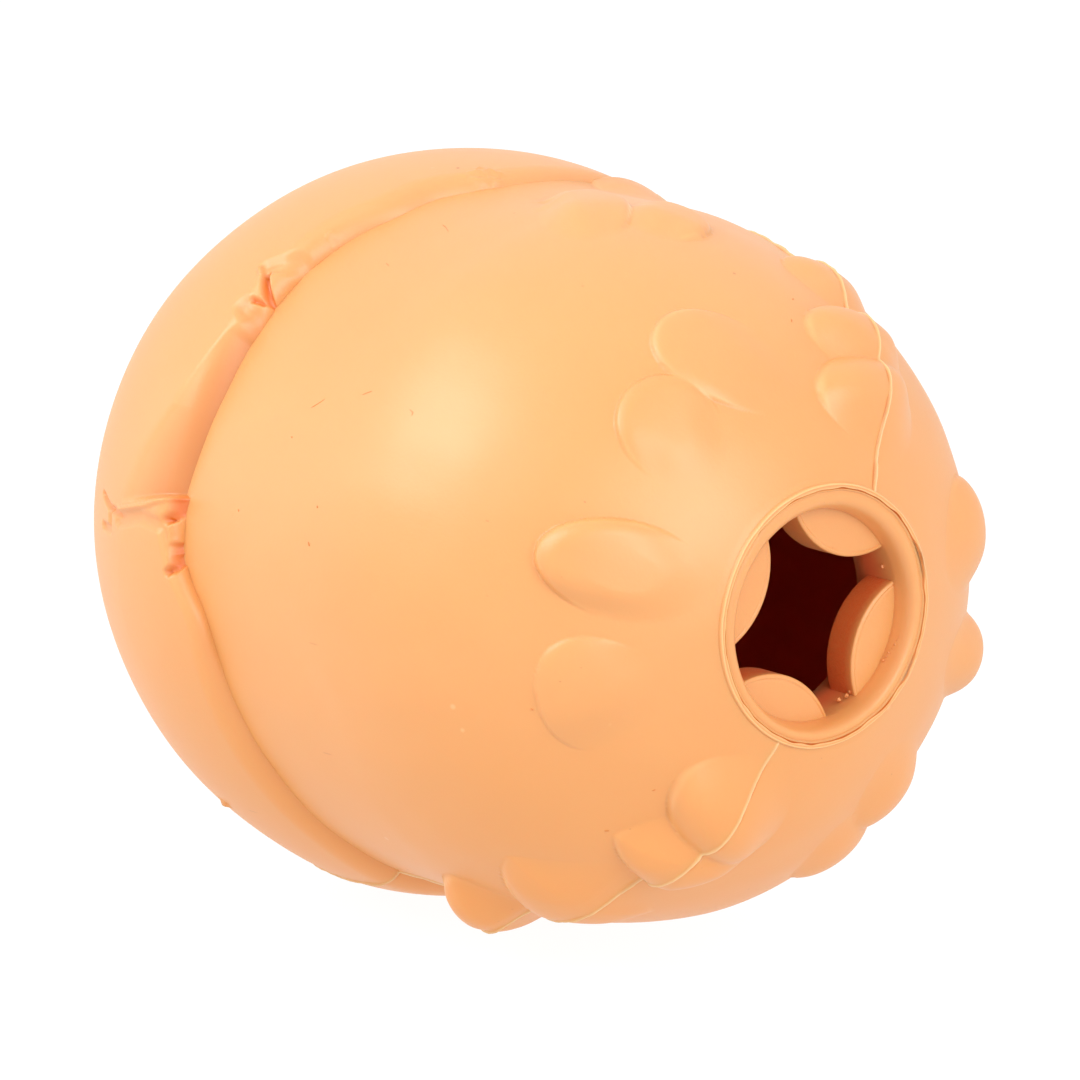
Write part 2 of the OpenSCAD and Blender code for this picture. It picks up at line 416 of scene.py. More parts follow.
def flash(points, turn, side, seed):
    """The thin moulding line along one side of the seam: its relief, its edge and its groove."""
    out = np.hypot(points[..., 1], points[..., 2])
    away = out * np.radians(signed(turn - side))
    rough = waves(points, 3.0, seed)
    high = np.clip(0.2 + 0.05 * rough + 0.03 * waves(points, 1.1, seed + 1), 0.05, 0.4)
    line = bell(away, 0, 0.12)
    groove = bell(np.abs(away), 0.26, 0.09) * smooth(-0.6, 1.0, rough) * (away > 0)
    return high * line - 0.1 * groove, line, groove


def body_height(points, normals, back, turn):
    """How far the body's surface stands out of the plain body, where it is paler, partly with a
    painted highlight on the lumps' rims, and where it takes painted shade in the grooves beside the
    moulding line.
    """
    height = np.zeros(points.shape[:-1])
    rim = np.zeros(points.shape[:-1])
    for row in LUMPS.values():
        one, edge = lump_height(points, row)
        both = (height > 0) & (one > 0)
        rim = np.where(one >= height - 0.02, edge, rim)
        height = np.where(both, soft_max(height, one, 0.2), np.maximum(height, one))
    height = height + 0.04 * rim * (0.6 + 0.5 * waves(points, 4, 8))
    # The rubber is uneven, and it sags more towards the mouth
    height = height + 0.1 * waves(points, 22, 5) + 0.03 * waves(points, 7, 6)
    sag = 0.2 + 0.45 * smooth(20, 45, points[..., 0])
    sag *= np.where(normals[..., 2] < 0, 0.6, 1)
    height = height - sag * normals[..., 2]
    around = signed(turn)
    for rise, at, length, middle, width in SWELLS:
        height = height + rise * bell(back, at, length) * bell(around, middle, width)
    ahead = points[..., 0] - round_curve(turn, BRIM_TURN, BRIM_FRONT)
    fillet = round_curve(turn, BRIM_TURN, BRIM_FILLET)
    height = height + fillet * np.exp(-np.maximum(ahead + FILLET_START, 0) / FILLET_FADE)
    # Painted highlight along the lumps' crisp rims, patchy, and stronger on the lumps further back
    pale = rim * (0.3 + 0.4 * smooth(30, 34, back)) * smooth(-0.8, 0.8, waves(points, 5, 9))
    # Painted shade in the groove beside each side of the moulding line
    recess_shade_and_hair = np.zeros(points.shape[:-1])
    for side, seed in ((SEAM_TOP, 31), (SEAM_BOTTOM, 41)):
        ridge, line, groove = flash(points, turn, side, seed)
        if side == SEAM_TOP:
            # Above, the line is torn up behind the last lump, and fades towards the brim
            torn_up = bell(back, 35.5, 3.4) + 0.6 * bell(back, 41.5, 1)
            ridge = ridge * (1 - 0.7 * smooth(45, 49, back)) + 0.12 * line * torn_up
        else:
            # Below, a nib stands on it near the mouth
            ridge = ridge + 0.22 * bell(back, 13.5, 0.45) * bell(around, -115, 0.55)
        height = height + ridge
        pale = np.maximum(pale, line)
        recess_shade_and_hair = np.maximum(recess_shade_and_hair, 0.7 * groove)
    return height * smooth(0, EDGE_FADE, back), pale, recess_shade_and_hair


# Columns crowd together beside the moulding line, by degrees from it
CROWD = np.array([0, 0.08, 0.16, 0.25, 0.36, 0.5, 0.68, 0.9, 1.2])


def crowded(start, end, count):
    """Angles from one side of the moulding line to the other, with a count of them between."""
    return np.concatenate(
        [start + CROWD, np.linspace(start + 1.5, end - 1.5, count), end - CROWD[::-1]]
    )


def make_body():
    """The body's two halves. Rows are closest from the mouth line to behind most of the lumps."""
    back = np.concatenate(
        [
            np.linspace(0, EDGE_FADE, 7)[:-1],
            np.linspace(EDGE_FADE, 31, 146)[:-1],
            np.linspace(31, 46, 34)[:-1],
            np.linspace(46, 68, 14),
        ]
    )
    # The hollow, from behind the mouth's collar over its dome and back under the cap
    inner_angle = np.radians(np.linspace(27.8, 90, 12))
    inner_forward = np.concatenate([DOME_START + CAVITY_R * np.cos(inner_angle), (14.0, 5.0)])
    inner_out = np.concatenate([CAVITY_R * np.sin(inner_angle), (CAVITY_R, CAVITY_R)])
    near_turns = crowded(SEAM_TOP, SEAM_BOTTOM, 424)
    far_turns = crowded(SEAM_BOTTOM, SEAM_TOP + 360, 330)
    turns = np.concatenate([near_turns, far_turns[1:]])
    plain, normals = body_points(back[:, None], turns[None, :])
    height, pale, recess_shade_and_hair = body_height(plain, normals, back[:, None], turns[None, :])
    points = in_row_frame(plain + normals * height[..., None])
    shading = -grid_normals(points)
    inner = placed(inner_forward[:, None], inner_out[:, None], turns[None, :])
    count = len(near_turns)
    made = []
    for name, part in (("near", slice(0, count)), ("far", slice(count - 1, None))):
        half = shell_half(
            "body_" + name + "_skin",
            points[:, part],
            shading[:, part],
            {"pale": pale[:, part], "recess_shade_and_hair": recess_shade_and_hair[:, part]},
            inner[:, part],
        )
        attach(half, "shell")
        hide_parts("body_" + name)
        made.append(half)
    return made


# Cap

# Angles forward are measured at the cap's centre, from the plane across its middle.
# Ridge of the flattened part of the brim: angle round the axis, and angle forward
RIDGE_TURN = (140, 142.5, 147.5, 155.4, 163.4, 172)
RIDGE_START = (2.0, 0.4, -1.6, -5.2, -11.0, -15.0)
# Foot of the flattened part: angle forward, and angle round the axis
FOOT_AT = (-14, -3.8, 5.2, 11)
FOOT_TURN = (172.2, 170.0, 168.1, 167)
# The brim's edge on that part, as an angle forward, and how deep the part is there
FLAT_END = 4.5
FLAT_DEPTH = 2.6
# How far the cap's surface lies inside the plain cap, before its swelling and folds: on average,
# and at least
CAP_INSET = 0.13
CAP_INSET_LEAST = 0.03

# Tears, pits and folds in the brim. Each is a line of points, as angle forward and angle round the
# axis, then its half width, its depth, which is below 0 where it stands up, and how much painted
# shade, a red dark, it takes in its pit
TEARS = (
    (((1.1, 169.6), (1.2, 171.5), (0.4, 172.6)), 0.75, 0.65, 1.0),
    (((0.5, 172.9), (1.2, 172.7)), 0.3, 0.4, 0.5),
    (((-13.7, 173.2), (-9, 172.2), (-4.4, 171.1), (0.1, 169.4), (0.9, 169.2)), 0.4, -0.28, 0),
    (((-13.7, 175), (-6, 173.2), (0.1, 173.6), (1.1, 175.1), (2.1, 176.6)), 1.0, 0.3, 0.15),
    (((1.0, 173.3), (1.4, 174.6), (1.7, 175.7)), 0.75, -0.35, 0),
    (((2.1, 176.5), (2.4, 177.9), (2.6, 179.3), (1.9, 180.4)), 0.55, 0.7, 1.0),
    (((2.8, 180.2), (3.0, 179.8), (2.5, 178.3)), 0.4, 0.6, 0.6),
    (((-23.2, 172.3), (-18.3, 173.8), (-13.5, 174)), 0.55, 0.4, 0.35),
    (((-18.3, 173.8), (-17.5, 177.1), (-21.9, 177.3)), 0.7, 0.3, 0.2),
    (((-1.7, 131.1), (-0.6, 131.9)), 0.35, -0.35, 0),
    (((0.5, 131.8), (1.8, 133.5), (3.3, 135.4)), 0.55, 0.75, 1.0),
    (((1.5, 136.4), (2.7, 136.2)), 0.45, 0.5, 1.0),
    (((0.9, 138.0), (2.4, 138.6), (3.7, 139.7)), 1.5, 0.4, 0.3),
    (((-0.2, 130.6), (2.2, 129), (3.6, 127.5)), 1.5, 0.5, 0.1),
    (((4.4, 121.0), (6.4, 122.4)), 0.32, -0.25, 0),
    (((9.2, 94.9), (12.8, 96.7)), 0.33, -0.28, 0),
    (((10.2, 93.4), (13.4, 94.9)), 0.3, -0.26, 0),
    (((11.4, 92.4), (13.5, 93.8)), 0.27, -0.2, 0),
    (((9.8, 96.4), (12.6, 98)), 0.3, -0.16, 0),
    (((-9.3, 225.2), (-8.4, 225.7)), 0.5, -0.4, 0),
    (((3.7, 77.0), (4.0, 77.2)), 0.24, 0.2, 1.0),
)


def cap_plain(turns):
    """The plain cap, from inside the brim over its roll to the rear: forward and out."""
    front = round_curve(turns, BRIM_TURN, BRIM_FRONT)
    roll = round_curve(turns, BRIM_TURN, BRIM_ROLL)
    reach = front - roll
    centre_r = np.sqrt((CAP_R - roll) ** 2 - reach**2)
    tilt = np.arctan2(reach, centre_r)
    # The smaller the roll, the further it turns in
    last = np.radians(np.clip(90 + (3 - roll) * 38, 90, 155))
    share = np.linspace(0, 1, 26)[:, None]
    turn = last + (tilt - last) * share
    down = np.radians(np.concatenate([np.linspace(0, 28, 94)[1:], np.linspace(28, 90, 42)[1:]]))
    angle = tilt - down[:, None] * (tilt + math.radians(89.9)) / math.radians(90)
    forward = np.concatenate([reach + roll * np.sin(turn), CAP_R * np.sin(angle)])
    out = np.concatenate([centre_r + roll * np.cos(turn), CAP_R * np.cos(angle)])
    return forward, out


def cap_depth(points, forward, turn):
    """How far the cap's surface lies inside the plain cap, where it is paler, and where it takes
    painted shade: in its pits and grooves, and on the brim's flattened part.
    """
    ahead = np.degrees(np.arctan2(forward, np.hypot(points[..., 1], points[..., 2])))
    around = np.mod(turn, 360)
    ridge = np.interp(around, RIDGE_TURN, RIDGE_START)
    foot = np.interp(ahead, FOOT_AT, FOOT_TURN)
    share = np.clip((ahead - ridge) / np.maximum(FLAT_END - ridge, 0.5), 0, 1.2)
    within = smooth(139, 143, around) * (1 - smooth(-0.6, 0.4, around - foot))
    facet = FLAT_DEPTH * share**1.5 * smooth(0, 0.25, share) * within
    depth = np.maximum(facet + 0.1 * waves(points, 26, 11) + CAP_INSET, CAP_INSET_LEAST)
    # The brim swells over the last lump below
    depth = depth - 0.42 * smooth(-24, 4, ahead) * bell(around, 246, 13)
    # Painted shade on the brim's flattened part, which faces away from the light, darkest towards
    # the brim's edge
    facet_shade = 0.95 * smooth(0.08, 0.9, share) * within
    recess_shade_and_hair = np.zeros(points.shape[:-1])
    x = np.radians(around + 0 * ahead) * CAP_R
    y = np.radians(ahead) * CAP_R
    # Each tear's pit takes a painted shade, a red dark, by the share its row gives
    for line, width, deep, pit_shade in TEARS:
        places = [(math.radians(b) * CAP_R, math.radians(a) * CAP_R) for a, b in line]
        bowl = 1 - smooth(0.2, 1, to_line(x, y, places) / width)
        depth = depth + deep * bowl
        recess_shade_and_hair = np.maximum(recess_shade_and_hair, bowl * pit_shade)
    pale = np.zeros(points.shape[:-1])
    for side, seed in ((SEAM_TOP, 51), (SEAM_BOTTOM, 61)):
        ridge, line, groove = flash(points, turn, side, seed)
        depth = depth - ridge * smooth(-40, -20, ahead)
        pale = np.maximum(pale, 0.7 * line)
        # Painted shade in the groove beside the moulding line
        recess_shade_and_hair = np.maximum(recess_shade_and_hair, 0.4 * groove)
    return depth, pale, recess_shade_and_hair, facet_shade


def make_cap():
    """The cap's two halves. Columns are closest where the brim is flattened and torn."""
    near_turns = np.concatenate(
        [
            SEAM_TOP + CROWD,
            np.linspace(SEAM_TOP + 1.8, 122, 66),
            np.linspace(122.25, 186, 256),
            np.linspace(186.8, SEAM_BOTTOM - 1.8, 66),
            SEAM_BOTTOM - CROWD[::-1],
        ]
    )
    far_turns = crowded(SEAM_BOTTOM, SEAM_TOP + 360, 240)
    turns = np.concatenate([near_turns, far_turns[1:]])
    forward, out = cap_plain(turns)
    angle = np.radians(turns)[None, :]
    plain = np.stack([forward, out * np.cos(angle), out * np.sin(angle)], axis=-1)
    depth, pale, recess_shade_and_hair, facet_shade = cap_depth(plain, forward, turns[None, :])
    distance = np.linalg.norm(plain, axis=-1)
    points = in_row_frame(plain * ((distance - depth) / distance)[..., None])
    shading = -grid_normals(points)
    inner_angle = np.radians(np.linspace(11.0, -89.9, 16))
    inner = placed(
        ((CAP_R - WALL) * np.sin(inner_angle))[:, None],
        ((CAP_R - WALL) * np.cos(inner_angle))[:, None],
        turns[None, :],
    )
    count = len(near_turns)
    made = []
    for name, part in (("near", slice(0, count)), ("far", slice(count - 1, None))):
        half = shell_half(
            "cap_" + name + "_skin",
            points[:, part],
            shading[:, part],
            {"pale": pale[:, part], "recess_shade_and_hair": recess_shade_and_hair[:, part], "facet_shade": facet_shade[:, part]},
            inner[:, part],
        )
        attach(half, "shell")
        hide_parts("cap_" + name)
        made.append(half)
    return made


# Mouth

# How far behind the lip's front its roll starts
LIP_LOW = 0.42
# The ring's rear, out of sight: forward and out
COLLAR_REAR = ((COLLAR_BACK, 14.2), (49.6, 14.0), (53.0, 13.1))


def lip_line(turns):
    """The mouth ring's outline at angles round the axis: forward, out, deep, pale and torn."""
    along = placed(np.array(MOUTH_LINE), np.array(MOUTH_R), turns) / MM
    rough = waves(along, 2.4, 71)
    slow = waves(along, 9.0, 72)
    around = signed(turns)
    torn_at = np.exp(-(((around - 18) / 11) ** 4)) + np.exp(-(((around + 32) / 8) ** 4))
    high = 0.33 + 0.03 * slow + 0.03 * rough + 0.04 * torn_at
    wide = 0.4 + 0.05 * slow + 0.06 * torn_at
    slit = MOUTH_R - 0.14 + 0.06 * rough + 0.04 * slow + 0.14 * torn_at
    cut = 0.2 + 0.14 * smooth(-0.6, 1, rough) + 0.22 * torn_at
    gape = 0.045 + 0.03 * smooth(0, 1.2, rough) + 0.15 * torn_at
    hairline = 0.3 + 0.5 * smooth(-0.2, 1.3, rough)
    rows = []

    def add(forward, out, deep=0.0, pale=0.0, recess_shade_and_hair=0.0):
        rows.append(np.broadcast_arrays(forward, out + 0 * turns, deep, pale, recess_shade_and_hair))

    # The flash line's bead, paler on its crest, with a little painted shade low on its sides
    edge = MOUTH_R + wide
    foot = MOUTH_LINE - 0.3 * wide
    add(foot - 0.5, edge - 0.05)
    add(foot - 0.02, edge + 0.02)
    add(foot + 0.3 * high, edge - 0.02, 0, 0.1, 0.2)
    add(foot + 0.8 * high, edge - 0.08, 0, 0.4)
    add(foot + 1.0 * high, edge - 0.15, 0, 0.6)
    add(foot + 1.0 * high, edge - 0.22, 0, 0.2)
    add(foot + 0.84 * high, edge - 0.28, 0, 0, 0.12)
    # The slit inside it, darkened with painted shade
    top = foot + 1.05 * high
    add(top, slit + gape + 0.05, 0, 0.45)
    add(top, slit + gape, 0, 0.3, 0.1)
    add(top - 0.6 * cut, slit + 0.8 * gape, 0, 0, hairline)
    add(top - cut, slit + 0.3 * gape, 0, 0, hairline)
    add(top - cut, slit - 0.3 * gape, 0, 0, hairline)
    add(top - 0.5 * cut, slit - gape, 0, 0, 0.6 * hairline)
    add(foot + 0.95 * high, slit - gape - 0.08, 0, 0.1)
    # The lip's roll into the bore, where the hollow's painted shade begins
    start = slit - gape - 0.14
    crest = LIP_FRONT - LIP_LOW
    for angle in np.linspace(0, math.pi / 2, 24):
        forward = crest - (crest - FLAP_FRONT) * (1 - math.cos(angle))
        swell = 0.36 * math.sin(2 * min(angle * 1.3, math.pi / 2))
        deep = 0.1 * float(smooth(0.5, 1.5, angle))
        add(forward + swell, start + (BORE_R - start) * math.sin(angle), deep)
    # The bore beside the flaps, then round the collar's back, with painted shade that deepens
    # towards the back
    for share in np.linspace(0, 1, 12)[1:]:
        add(FLAP_FRONT - FLAP_T * share, BORE_R, 0.1 + 0.6 * float(smooth(0, 0.9, share)))
    add(COLLAR_BACK + 0.5, BORE_R + 0.1, 0.4)
    add(COLLAR_BACK + 0.1, BORE_R + 0.5, 0.6)
    add(COLLAR_BACK, BORE_R + 1.2, 0.8)
    for forward, out in COLLAR_REAR:
        add(forward, out, 1)
    return [np.array([row[k] for row in rows]) for k in range(5)]


def make_mouth():
    """The mouth ring: its outline turned once round, closed both ways."""
    turns = np.linspace(0, 360, 721)[:-1]
    forward, out, deep, pale, recess_shade_and_hair = lip_line(turns)
    points = placed(forward, out, turns[None, :])
    points[..., 2] -= MOUTH_DROP * MM * (1 - smooth(BORE_R + 0.3, MOUTH_R - 0.2, out))
    rows, columns = points.shape[:2]
    index = np.arange(rows * columns).reshape(rows, columns)
    index = np.concatenate([index, index[:, :1]], axis=1)
    index = np.concatenate([index, index[:1]], axis=0)
    ring = make_mesh(
        "mouth_lip",
        points.reshape(-1, 3),
        index_quads(index),
        values={"deep": deep, "pale": pale, "recess_shade_and_hair": recess_shade_and_hair},
    )
    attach(ring, "shell")
    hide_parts("mouth_ring")
    return ring


# Crumbs, chips and hairs that the moulding left

# Each crumb in the mouth: forward, out, angle round the axis and size
CRUMBS = (
    (55.05, 10.62, -19.5, 0.14),
    (54.95, 10.55, -21.5, 0.1),
    (54.85, 10.5, -24, 0.12),
    (54.75, 10.45, -26.5, 0.09),
    (54.6, 10.38, -29, 0.13),
    (54.5, 10.34, -31.5, 0.1),
    (54.4, 10.3, -34, 0.14),
    (53.2, 10.05, -66, 0.24),
    (53.5, 10.05, -61.5, 0.22),
    (53.3, 10.05, -58, 0.17),
    (52.9, 10.05, 17.5, 0.17),
)
# Each hair or chip on the body: its half width, and a line of places, as distance back and angle
# round the axis
BITS = (
    (0.035, ((50.1, 150.3), (49.4, 149.4), (48.7, 148.3))),
    (0.035, ((43.7, 146.2), (43.1, 145.7), (42.5, 145.2))),
    (0.035, ((53.5, 110.4), (52.5, 110.9), (51.2, 112.0))),
    (0.035, ((53.9, 122.2), (53.1, 122.6))),
    (0.03, ((36.6, 146.4), (36.0, 146.7), (36.0, 147.3))),
    (0.06, ((51.1, 155.4), (51.0, 155.7))),
    (0.07, ((44.2, 164.8), (44.1, 165.2))),
    (0.08, ((44.6, 170.6), (44.3, 171.2))),
    (0.06, ((56.3, 168.5), (56.2, 168.9))),
    (0.08, ((18.9, 195.1), (18.7, 195.5))),
    (0.06, ((11.7, 224.0), (11.4, 224.3))),
    (0.06, ((18.2, 227.6), (17.8, 228.1))),
    (0.08, ((21.5, 76.1), (21.3, 76.6))),
    (0.07, ((18.4, 80.0), (18.0, 80.4))),
)


def beads(places, sizes, seed, rows=9, columns=12):
    """Points and quads of small lumpy beads: rows along their axes, columns round them."""
    tall = np.linspace(0.12, math.pi - 0.12, rows)[:, None]
    turn = np.linspace(0, 2 * math.pi, columns + 1)[:-1]
    ball = np.stack(
        np.broadcast_arrays(np.cos(tall), np.sin(tall) * np.cos(turn), np.sin(tall) * np.sin(turn)),
        axis=-1,
    )
    points = []
    quads = []
    for place, size in zip(places, sizes):
        first = len(points) * rows * columns
        index = first + np.arange(rows * columns).reshape(rows, columns)
        index = np.concatenate([index, index[:, :1]], axis=1)
        lumpy = 1 + 0.25 * waves(ball, 1.6, seed + len(points))
        points.append((place + ball * (size * lumpy)[..., None]).reshape(-1, 3))
        quads.append(index_quads(index, flip=True))
        # Each end is closed by a fan of quads
        fan = range(1, columns - 1, 2)
        for end, way in ((index[0], 1), (index[-1], -1)):
            cap = [(end[k], end[k + 1], end[k + 2], end[0])[::way] for k in fan]
            quads.append(np.array(cap))
    return np.concatenate(points), np.concatenate(quads)


def make_crumbs():
    """Small rubber crumbs on the bore's wall, in one mesh."""
    forward, out, around, size = np.array(CRUMBS).T
    around = np.radians(around)
    places = np.stack([forward, out * np.cos(around), out * np.sin(around)], axis=-1)
    points, quads = beads(places, size, 500)
    # The crumbs take part of the bore's painted shade
    made = make_mesh(
        "mouth_crumbs",
        in_row_frame(points),
        quads,
        values={"deep": np.full(len(points), 0.26)},
    )
    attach(made, "shell")
    return made


def make_bits():
    """Hairs and dark chips that lie on the body, as one mesh of thin tapered tubes."""
    rows = 9
    columns = 6
    points = []
    quads = []
    share = np.linspace(0, 1, rows)
    turn = np.linspace(0, 2 * math.pi, columns + 1)[:-1]
    thick = np.sqrt(np.maximum(1 - (2 * share - 1) ** 4, 0.02))
    for width, line in BITS:
        at = np.linspace(0, 1, len(line))
        back = np.interp(share, at, [place[0] for place in line])
        around = np.interp(share, at, [place[1] for place in line])
        plain, normals = body_points(back, around)
        height, _, _ = body_height(plain, normals, back, around)
        middle = plain + normals * (height + 0.3 * width)[:, None]
        along = np.gradient(middle, axis=0)
        along /= np.linalg.norm(along, axis=1, keepdims=True)
        side = np.cross(along, normals)
        ring = np.cos(turn)[:, None] * side[:, None] + np.sin(turn)[:, None] * normals[:, None]
        first = len(points) * rows * columns
        index = first + np.arange(rows * columns).reshape(rows, columns)
        index = np.concatenate([index, index[:, :1]], axis=1)
        points.append((middle[:, None] + ring * (width * thick)[:, None, None]).reshape(-1, 3))
        quads.append(index_quads(index))
        for end, way in ((index[0], -1), (index[-1], 1)):
            quads.append(np.array([end[[0, 1, 2, 3]][::way], end[[0, 3, 4, 5]][::way]]))
    points = np.concatenate(points)
    # The hairs and chips are dark in themselves, in the colour of the painted shade in the pits
    made = make_mesh(
        "body_bits",
        in_row_frame(points),
        np.concatenate(quads),
        values={"recess_shade_and_hair": np.full(len(points), 0.6)},
    )
    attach(made, "shell")
    return made


# Flaps

def make_flap(name, turn, dark=1.0):
    """A lens-shaped flap, rooted in the bore's wall.

    Turn is the angle of its root, which the joint has too, and dark tells how much painted shade
    its side and rear face take.
    """
    reach = (ROOT_R**2 + ARC_CENTRE**2 - ARC_R**2) / (2 * ARC_CENTRE)
    half = math.sqrt(ROOT_R**2 - reach**2)
    across = np.sin(np.linspace(-math.pi / 2, math.pi / 2, 81)) * half
    share = np.linspace(0, 1, 31) ** 1.4
    bevel = 0.2
    inner = ARC_CENTRE - np.sqrt(ARC_R**2 - across**2)
    outer = np.sqrt(ROOT_R**2 - across**2)

    # The front and the rear face, with a slight raised edge on the front. The rear face takes the
    # full painted shade, the front face none
    rough = waves(np.stack([across, 0 * across, 0 * across], axis=-1), 2.5, 80 + int(turn))
    free = np.minimum(inner + bevel, outer)
    out = free + (outer - free) * share[:, None]
    rim = bell(out - free, 0.12, 0.1) - 0.8 * bell(out - free, 0.34, 0.1)
    rim = rim * (1 + 0.4 * rough)
    points = []
    shades = []
    for forward, lift, shade in ((FLAP_FRONT, 0.05, 0.0), (FLAP_BACK, 0, 1.0)):
        face = np.stack(np.broadcast_arrays(forward + lift * rim, out, across), axis=-1)
        points.append(face.reshape(-1, 3))
        shades.append(np.full(out.size, shade))

    # The free side between them, from one bevel to the other, with painted shade that deepens back
    # from the front face
    flat_rows = 16
    corner = np.linspace(0, math.pi / 2, 5)
    depths = np.concatenate(
        [
            FLAP_FRONT - bevel * (1 - np.cos(corner[1:])),
            np.linspace(FLAP_FRONT - bevel, FLAP_BACK + bevel, flat_rows + 2)[1:-1],
            FLAP_BACK + bevel * (1 - np.sin(corner[:-1])),
        ]
    )
    insets = np.concatenate(
        [
            bevel * (1 - np.sin(corner[1:])),
            np.zeros(flat_rows),
            bevel * (1 - np.cos(corner[:-1])),
        ]
    )
    rows = len(share)
    columns = len(across)
    size = rows * columns
    for depth, inset in zip(depths, insets):
        free = np.minimum(inner + inset, outer)
        points.append(np.stack([np.full(columns, depth), free, across], axis=-1))
        below = FLAP_FRONT - depth
        shade = 0.5 * smooth(0.12, 0.5, below) + 0.5 * smooth(0.4, 1.3, below)
        shades.append(np.full(columns, shade))
    points = np.concatenate(points)
    front = np.arange(size).reshape(rows, columns)
    rear = size + front
    wall = 2 * size + np.arange(len(depths) * columns).reshape(len(depths), columns)
    wall = np.concatenate([front[:1], wall, rear[:1]])
    quads = [
        index_quads(front),
        index_quads(rear, flip=True),
        index_quads(wall, flip=True),
        index_quads(np.stack([front[-1], rear[-1]])),
    ]
    angle = math.radians(turn + FLAP_TURN)
    forward = points[:, 0]
    y = points[:, 1] * math.cos(angle) - points[:, 2] * math.sin(angle)
    z = points[:, 1] * math.sin(angle) + points[:, 2] * math.cos(angle) - MOUTH_DROP
    made = make_mesh(
        name + "_rubber",
        in_row_frame(np.stack([forward, y, z], axis=-1)),
        np.concatenate(quads),
        values={"wall": dark * np.concatenate(shades)},
    )
    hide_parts(name)
    start = placed(np.array(ROOT_MIDDLE), np.array(BEND_START), np.array(turn))
    end = placed(np.array(ROOT_MIDDLE), np.array(BEND_END), np.array(turn))
    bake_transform(made)
    return made


# Materials

# The rubber's colour, and the shares of it that its cloudy tone goes between
TINT = (0.725, 0.316, 0.098)
CLOUD_DARK = (0.985, 0.965, 0.93)
CLOUD_LIGHT = (1.01, 1.03, 1.06)
# Painted shade that deepens it towards the floor, and painted light that pales it towards the top
LOW_PAINTED_SHADE = (0.79, 0.285, 0.05)
TOP_PAINTED_LIGHT = (0.74, 0.345, 0.135)
# Marks in it
SPECK = (0.42, 0.12, 0.03)
FLECK = (0.82, 0.46, 0.22)
SCRATCH = (0.46, 0.15, 0.045)
# What the float fields of a mesh turn it to
# Painted shade on the brim's flattened part
FACET_SHADE = (0.57, 0.19, 0.042)
# A painted highlight on the lumps' rims, and paler thin lines along the moulding line and on the
# lip
PALE = (0.92, 0.54, 0.24)
# Painted shade in pits, grooves and the lip's slit, and the real dark of hairs and chips
RECESS_SHADE_AND_HAIR = (0.66, 0.145, 0.008)
# Painted shade on the flaps' sides and rear faces
FLAP_SHADE = (0.72, 0.122, 0.022)
# Painted shade of the hollow and the bore, a saturated red
HOLLOW_SHADE = (0.85, 0.10, 0.03)


def node(tree, kind, **settings):
    """A new shader node, with its sockets or its own settings set by name."""
    made = tree.nodes.new(kind)
    for key, value in settings.items():
        if key in made.inputs:
            made.inputs[key].default_value = value
        else:
            setattr(made, key, value)
    return made


def shaded(shares):
    """The rubber's colour times a share of each of its parts."""
    return tuple(part * share for part, share in zip(TINT, shares)) + (1,)


